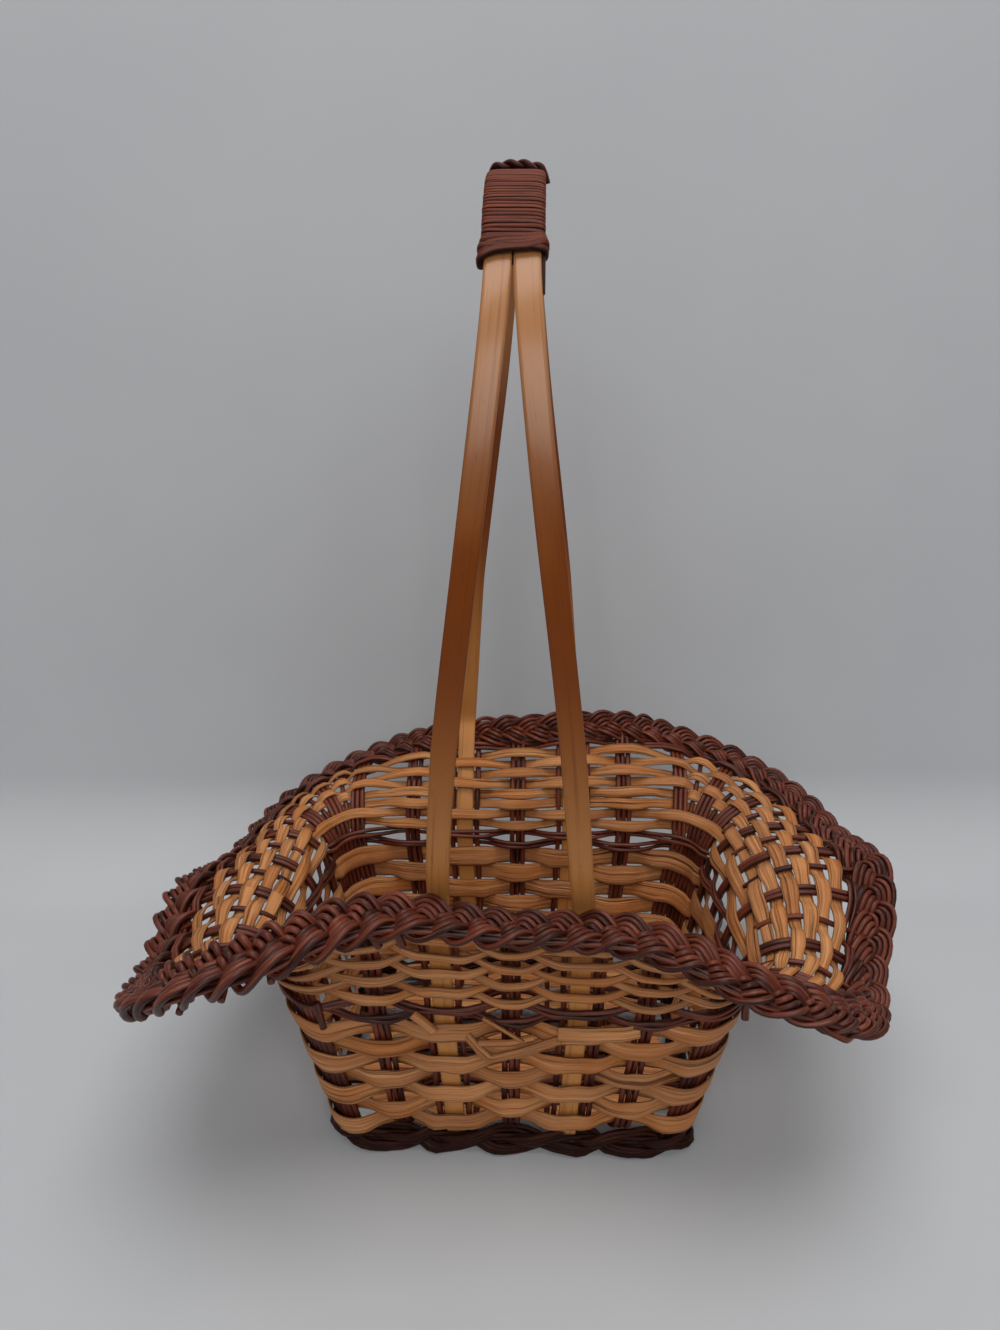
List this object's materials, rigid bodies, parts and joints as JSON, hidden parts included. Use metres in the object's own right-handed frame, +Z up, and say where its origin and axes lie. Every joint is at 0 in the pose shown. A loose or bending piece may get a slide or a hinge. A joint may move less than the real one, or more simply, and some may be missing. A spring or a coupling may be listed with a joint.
{
  "type": "woven basket",
  "caption": "Open woven basket with a flared wavy brim, plaited dark border and foot, and a tall arched handle of paired strips bound at the top.",
  "frame": {"origin": "on the floor, under the middle of the whole basket's outer box", "axes": "+Z up through the handle, +X along the long side of the body towards its right end, -Y towards the viewer, the front long side"},
  "size_m": [0.3192, 0.2102, 0.3895],
  "materials": {
    "dark_reed": "dark red-brown stained round reed, satin",
    "pale_splint": "flat pale cane splint with fine lengthwise fibres, dry satin",
    "handle_strip": "honey-coloured split bamboo strip with a smooth, slightly glossy skin",
    "binding_cane": "red-brown binding cane, satin"
  },
  "bodies": {
    "root": {"base_splint_1": "pale_splint", "base_splint_2": "pale_splint", "base_splint_3": "pale_splint", "base_splint_4": "pale_splint", "base_splint_5": "pale_splint", "body_row_1": "pale_splint", "body_row_2": "pale_splint", "body_row_3": "pale_splint", "body_row_4": "pale_splint", "body_row_5": "pale_splint", "body_row_6": "pale_splint", "body_row_7": "pale_splint", "brim_row_1": "pale_splint", "brim_row_2": "pale_splint", "brim_row_3": "pale_splint", "brim_row_4": "pale_splint", "brim_row_5": "pale_splint", "brim_row_6": "pale_splint", "brim_row_7": "pale_splint", "brim_row_8": "pale_splint", "corner_stake_back_left_1": "dark_reed", "corner_stake_back_left_2": "dark_reed", "corner_stake_back_left_3": "dark_reed", "corner_stake_back_right_1": "dark_reed", "corner_stake_back_right_2": "dark_reed", "corner_stake_back_right_3": "dark_reed", "corner_stake_front_left_1": "dark_reed", "corner_stake_front_left_2": "dark_reed", "corner_stake_front_left_3": "dark_reed", "corner_stake_front_right_1": "dark_reed", "corner_stake_front_right_2": "dark_reed", "corner_stake_front_right_3": "dark_reed", "crosswise_stakes_left": "dark_reed", "crosswise_stakes_middle": "dark_reed", "crosswise_stakes_right": "dark_reed", "crown_tie": "binding_cane", "foot_ring": "dark_reed", "handle_binding": "binding_cane", "handle_left_reed_left": "dark_reed", "handle_left_reed_right": "dark_reed", "handle_right_reed_left": "dark_reed", "handle_right_reed_right": "dark_reed", "handle_strip_left": "handle_strip", "handle_strip_right": "handle_strip", "lengthwise_stakes_1": "dark_reed", "lengthwise_stakes_2": "dark_reed", "lengthwise_stakes_3": "dark_reed", "lengthwise_stakes_4": "dark_reed", "plaited_border": "dark_reed", "top_wale": "dark_reed", "waist_wale_lower": "dark_reed", "waist_wale_upper": "dark_reed"}
  },
  "joints": []
}
